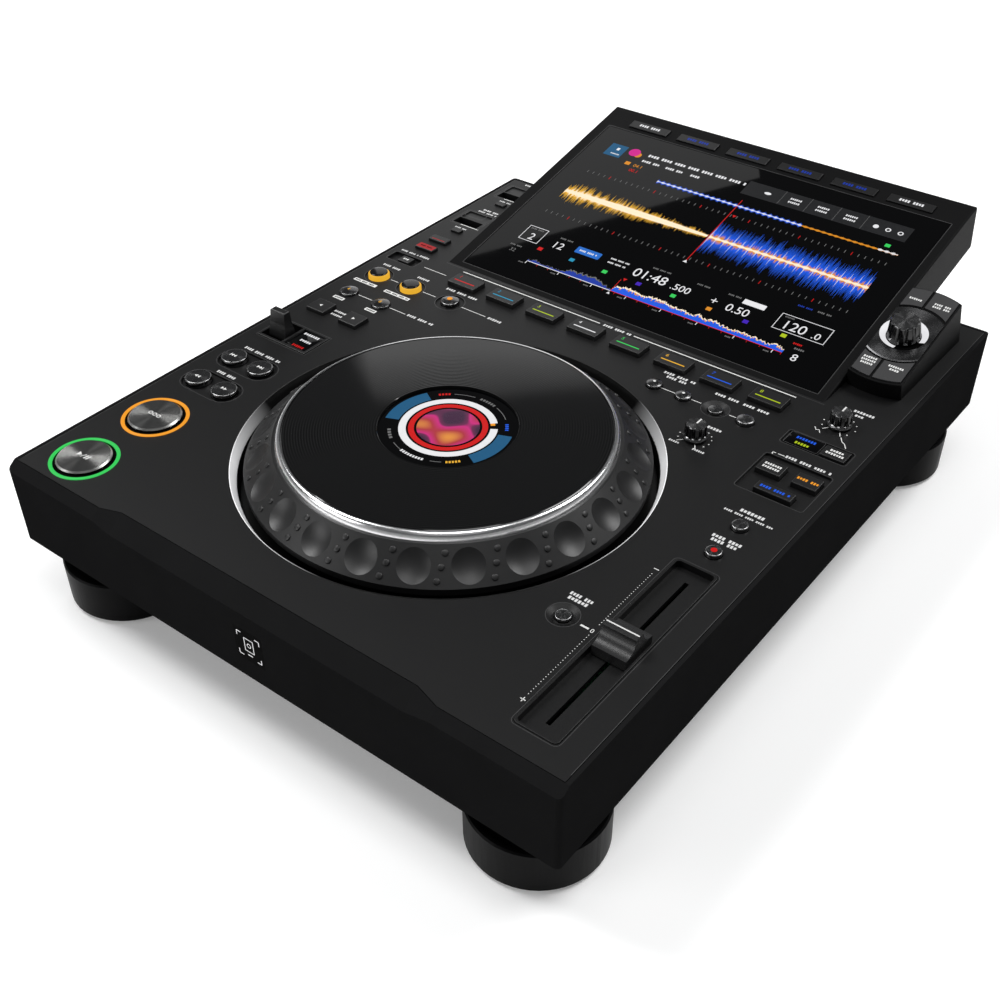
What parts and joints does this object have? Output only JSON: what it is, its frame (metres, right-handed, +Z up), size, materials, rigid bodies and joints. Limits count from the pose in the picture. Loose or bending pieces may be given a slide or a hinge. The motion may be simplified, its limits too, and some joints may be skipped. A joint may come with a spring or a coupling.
{
  "type": "tabletop dj media player",
  "caption": "Tabletop DJ deck with a large turning jog wheel, tempo fader, lit transport buttons, a tilted touch display and a browse knob, on four round feet.",
  "frame": {"origin": "middle of the overall footprint, on the surface that the feet stand on", "axes": "+X to the user's right, +Y away from the user towards the display, +Z up"},
  "size_m": [0.329, 0.4708, 0.1212],
  "materials": {
    "case_plastic": "fine sandblast texture",
    "deck_plastic": "fine sandblast texture",
    "display_plastic": "smooth matte",
    "screen_glass": "polished",
    "key_plastic": "satin",
    "gloss_key": "polished",
    "spun_metal": "radially spun",
    "lit_ring": "translucent",
    "jog_plastic": "satin",
    "disc_gloss": "grooved, polished",
    "trim_chrome": "polished",
    "well_satin": "satin",
    "steel": "plain",
    "foot_metal": "brushed, dark",
    "plate_steel": "powder coat",
    "board": "solder mask",
    "socket_plastic": "plain"
  },
  "bodies": {
    "chassis": {"main_case": "case_plastic", "top_panel": "deck_plastic", "bottom_plate": "plate_steel", "main_board": "board", "case_screws": "steel", "feet": "foot_metal", "rear_panel": "plate_steel", "rear_sockets": "socket_plastic", "display_housing": "display_plastic", "display_glass": "screen_glass", "browse_housing": "display_plastic", "browse_collar": "gloss_key", "jog_well": "well_satin", "light_rings": "lit_ring", "media_bays": "key_plastic", "lever_bezel": "key_plastic", "tempo_tray": "deck_plastic"},
    "jog_wheel": {"jog_ring": "jog_plastic", "jog_trim_ring": "trim_chrome", "jog_disc": "disc_gloss", "jog_spindle": "steel"},
    "beat_jump_keys": {"beat_jump_keys": "key_plastic"},
    "beat_loop_keys": {"beat_loop_keys": "gloss_key"},
    "beat_sync_key": {"beat_sync_key": "key_plastic"},
    "browse_keys": {"browse_keys": "key_plastic"},
    "browse_knob": {"browse_knob": "gloss_key"},
    "call_keys": {"call_keys": "gloss_key"},
    "cue_button": {"cue_button": "spun_metal"},
    "delete_key": {"delete_key": "gloss_key"},
    "direction_lever": {"direction_lever": "key_plastic"},
    "hot_cue_1_key": {"hot_cue_1_key": "key_plastic"},
    "hot_cue_2_key": {"hot_cue_2_key": "key_plastic"},
    "hot_cue_3_key": {"hot_cue_3_key": "key_plastic"},
    "hot_cue_4_key": {"hot_cue_4_key": "key_plastic"},
    "hot_cue_5_key": {"hot_cue_5_key": "key_plastic"},
    "hot_cue_6_key": {"hot_cue_6_key": "key_plastic"},
    "hot_cue_7_key": {"hot_cue_7_key": "key_plastic"},
    "hot_cue_8_key": {"hot_cue_8_key": "key_plastic"},
    "jog_feel_knob": {"jog_feel_knob": "gloss_key"},
    "jog_mode_key": {"jog_mode_key": "key_plastic"},
    "jog_speed_knob": {"jog_speed_knob": "gloss_key"},
    "key_sync_key": {"key_sync_key": "key_plastic"},
    "loop_in_key": {"loop_in_key": "gloss_key"},
    "loop_out_key": {"loop_out_key": "gloss_key"},
    "master_key": {"master_key": "key_plastic"},
    "master_tempo_key": {"master_tempo_key": "gloss_key"},
    "media_stop_keys": {"media_stop_keys": "key_plastic"},
    "memory_key": {"memory_key": "gloss_key"},
    "mode_keys": {"mode_keys": "key_plastic"},
    "play_button": {"play_button": "spun_metal"},
    "reloop_key": {"reloop_key": "gloss_key"},
    "screen_keys": {"screen_keys": "key_plastic"},
    "search_back_key": {"search_back_key": "gloss_key"},
    "search_forward_key": {"search_forward_key": "gloss_key"},
    "tempo_fader_cap": {"tempo_fader_cap": "gloss_key"},
    "tempo_range_key": {"tempo_range_key": "gloss_key"},
    "tempo_reset_key": {"tempo_reset_key": "gloss_key"},
    "time_mode_key": {"time_mode_key": "key_plastic"},
    "track_back_key": {"track_back_key": "gloss_key"},
    "track_forward_key": {"track_forward_key": "gloss_key"}
  },
  "joints": [
    {"name": "jog_turn", "type": "hinge", "parent": "chassis", "child": "jog_wheel", "pos_m": [-0.0012, -0.09824, 0.0816], "axis": [0, 0, 1], "continuous": true},
    {"name": "beat_jump_keys_press", "type": "slide", "parent": "chassis", "child": "beat_jump_keys", "axis": [0, 0, -1], "range_m": [0, 0.0012], "stiffness_N_per_m": 300, "springref_m": -0.0004},
    {"name": "beat_loop_keys_press", "type": "slide", "parent": "chassis", "child": "beat_loop_keys", "axis": [0, 0, -1], "range_m": [0, 0.0012], "stiffness_N_per_m": 300, "springref_m": -0.0004},
    {"name": "beat_sync_key_press", "type": "slide", "parent": "chassis", "child": "beat_sync_key", "axis": [0, 0, -1], "range_m": [0, 0.0012], "stiffness_N_per_m": 300, "springref_m": -0.0004},
    {"name": "call_keys_press", "type": "slide", "parent": "chassis", "child": "call_keys", "axis": [0, 0, -1], "range_m": [0, 0.0012], "stiffness_N_per_m": 300, "springref_m": -0.0004},
    {"name": "cue_button_press", "type": "slide", "parent": "chassis", "child": "cue_button", "axis": [0, 0, -1], "range_m": [0, 0.0015], "stiffness_N_per_m": 400, "springref_m": -0.0004},
    {"name": "delete_key_press", "type": "slide", "parent": "chassis", "child": "delete_key", "axis": [0, 0, -1], "range_m": [0, 0.0009], "stiffness_N_per_m": 300, "springref_m": -0.0004},
    {"name": "hot_cue_1_key_press", "type": "slide", "parent": "chassis", "child": "hot_cue_1_key", "axis": [0, 0, -1], "range_m": [0, 0.0012], "stiffness_N_per_m": 300, "springref_m": -0.0004},
    {"name": "hot_cue_2_key_press", "type": "slide", "parent": "chassis", "child": "hot_cue_2_key", "axis": [0, 0, -1], "range_m": [0, 0.0012], "stiffness_N_per_m": 300, "springref_m": -0.0004},
    {"name": "hot_cue_3_key_press", "type": "slide", "parent": "chassis", "child": "hot_cue_3_key", "axis": [0, 0, -1], "range_m": [0, 0.0012], "stiffness_N_per_m": 300, "springref_m": -0.0004},
    {"name": "hot_cue_4_key_press", "type": "slide", "parent": "chassis", "child": "hot_cue_4_key", "axis": [0, 0, -1], "range_m": [0, 0.0012], "stiffness_N_per_m": 300, "springref_m": -0.0004},
    {"name": "hot_cue_5_key_press", "type": "slide", "parent": "chassis", "child": "hot_cue_5_key", "axis": [0, 0, -1], "range_m": [0, 0.0012], "stiffness_N_per_m": 300, "springref_m": -0.0004},
    {"name": "hot_cue_6_key_press", "type": "slide", "parent": "chassis", "child": "hot_cue_6_key", "axis": [0, 0, -1], "range_m": [0, 0.0012], "stiffness_N_per_m": 300, "springref_m": -0.0004},
    {"name": "hot_cue_7_key_press", "type": "slide", "parent": "chassis", "child": "hot_cue_7_key", "axis": [0, 0, -1], "range_m": [0, 0.0012], "stiffness_N_per_m": 300, "springref_m": -0.0004},
    {"name": "hot_cue_8_key_press", "type": "slide", "parent": "chassis", "child": "hot_cue_8_key", "axis": [0, 0, -1], "range_m": [0, 0.0012], "stiffness_N_per_m": 300, "springref_m": -0.0004},
    {"name": "jog_mode_key_press", "type": "slide", "parent": "chassis", "child": "jog_mode_key", "axis": [0, 0, -1], "range_m": [0, 0.0012], "stiffness_N_per_m": 300, "springref_m": -0.0004},
    {"name": "key_sync_key_press", "type": "slide", "parent": "chassis", "child": "key_sync_key", "axis": [0, 0, -1], "range_m": [0, 0.0012], "stiffness_N_per_m": 300, "springref_m": -0.0004},
    {"name": "loop_in_key_press", "type": "slide", "parent": "chassis", "child": "loop_in_key", "axis": [0, 0, -1], "range_m": [0, 0.0012], "stiffness_N_per_m": 300, "springref_m": -0.0004},
    {"name": "loop_out_key_press", "type": "slide", "parent": "chassis", "child": "loop_out_key", "axis": [0, 0, -1], "range_m": [0, 0.0012], "stiffness_N_per_m": 300, "springref_m": -0.0004},
    {"name": "master_key_press", "type": "slide", "parent": "chassis", "child": "master_key", "axis": [0, 0, -1], "range_m": [0, 0.0012], "stiffness_N_per_m": 300, "springref_m": -0.0004},
    {"name": "master_tempo_key_press", "type": "slide", "parent": "chassis", "child": "master_tempo_key", "axis": [0, 0, -1], "range_m": [0, 0.0012], "stiffness_N_per_m": 300, "springref_m": -0.0004},
    {"name": "media_stop_keys_press", "type": "slide", "parent": "chassis", "child": "media_stop_keys", "axis": [0, 0, -1], "range_m": [0, 0.0012], "stiffness_N_per_m": 300, "springref_m": -0.0004},
    {"name": "memory_key_press", "type": "slide", "parent": "chassis", "child": "memory_key", "axis": [0, 0, -1], "range_m": [0, 0.0012], "stiffness_N_per_m": 300, "springref_m": -0.0004},
    {"name": "mode_keys_press", "type": "slide", "parent": "chassis", "child": "mode_keys", "axis": [0, 0, -1], "range_m": [0, 0.0012], "stiffness_N_per_m": 300, "springref_m": -0.0004},
    {"name": "play_button_press", "type": "slide", "parent": "chassis", "child": "play_button", "axis": [0, 0, -1], "range_m": [0, 0.0015], "stiffness_N_per_m": 400, "springref_m": -0.0004},
    {"name": "reloop_key_press", "type": "slide", "parent": "chassis", "child": "reloop_key", "axis": [0, 0, -1], "range_m": [0, 0.0012], "stiffness_N_per_m": 300, "springref_m": -0.0004},
    {"name": "search_back_key_press", "type": "slide", "parent": "chassis", "child": "search_back_key", "axis": [0, 0, -1], "range_m": [0, 0.0012], "stiffness_N_per_m": 300, "springref_m": -0.0004},
    {"name": "search_forward_key_press", "type": "slide", "parent": "chassis", "child": "search_forward_key", "axis": [0, 0, -1], "range_m": [0, 0.0012], "stiffness_N_per_m": 300, "springref_m": -0.0004},
    {"name": "tempo_range_key_press", "type": "slide", "parent": "chassis", "child": "tempo_range_key", "axis": [0, 0, -1], "range_m": [0, 0.0012], "stiffness_N_per_m": 300, "springref_m": -0.0004},
    {"name": "tempo_reset_key_press", "type": "slide", "parent": "chassis", "child": "tempo_reset_key", "axis": [0, 0, -1], "range_m": [0, 0.0009], "stiffness_N_per_m": 300, "springref_m": -0.0004},
    {"name": "time_mode_key_press", "type": "slide", "parent": "chassis", "child": "time_mode_key", "axis": [0, 0, -1], "range_m": [0, 0.0009], "stiffness_N_per_m": 300, "springref_m": -0.0004},
    {"name": "track_back_key_press", "type": "slide", "parent": "chassis", "child": "track_back_key", "axis": [0, 0, -1], "range_m": [0, 0.0012], "stiffness_N_per_m": 300, "springref_m": -0.0004},
    {"name": "track_forward_key_press", "type": "slide", "parent": "chassis", "child": "track_forward_key", "axis": [0, 0, -1], "range_m": [0, 0.0012], "stiffness_N_per_m": 300, "springref_m": -0.0004},
    {"name": "screen_keys_press", "type": "slide", "parent": "chassis", "child": "screen_keys", "axis": [0, 0.2181, -0.9759], "range_m": [0, 0.0008], "stiffness_N_per_m": 300, "springref_m": -0.0004},
    {"name": "browse_keys_press", "type": "slide", "parent": "chassis", "child": "browse_keys", "axis": [0, 0.2181, -0.9759], "range_m": [0, 0.0006], "stiffness_N_per_m": 300, "springref_m": -0.0004},
    {"name": "lever_swing", "type": "hinge", "parent": "chassis", "child": "direction_lever", "pos_m": [-0.1462, -0.06724, 0.0721], "axis": [1, 0, 0], "range_deg": [-10, 10]},
    {"name": "tempo_slide", "type": "slide", "parent": "chassis", "child": "tempo_fader_cap", "axis": [0, 1, 0], "range_m": [-0.048, 0.048]},
    {"name": "jog_feel_turn", "type": "hinge", "parent": "chassis", "child": "jog_feel_knob", "pos_m": [0.0875, -0.01564, 0.0816], "axis": [0, 0, 1], "range_deg": [-140, 140]},
    {"name": "jog_speed_turn", "type": "hinge", "parent": "chassis", "child": "jog_speed_knob", "pos_m": [0.1392, 0.03696, 0.0816], "axis": [0, 0, 1], "range_deg": [-140, 140]},
    {"name": "browse_turn", "type": "hinge", "parent": "chassis", "child": "browse_knob", "pos_m": [0.1374, 0.10886, 0.0991], "axis": [0, -0.2181, 0.9759], "continuous": true}
  ]
}
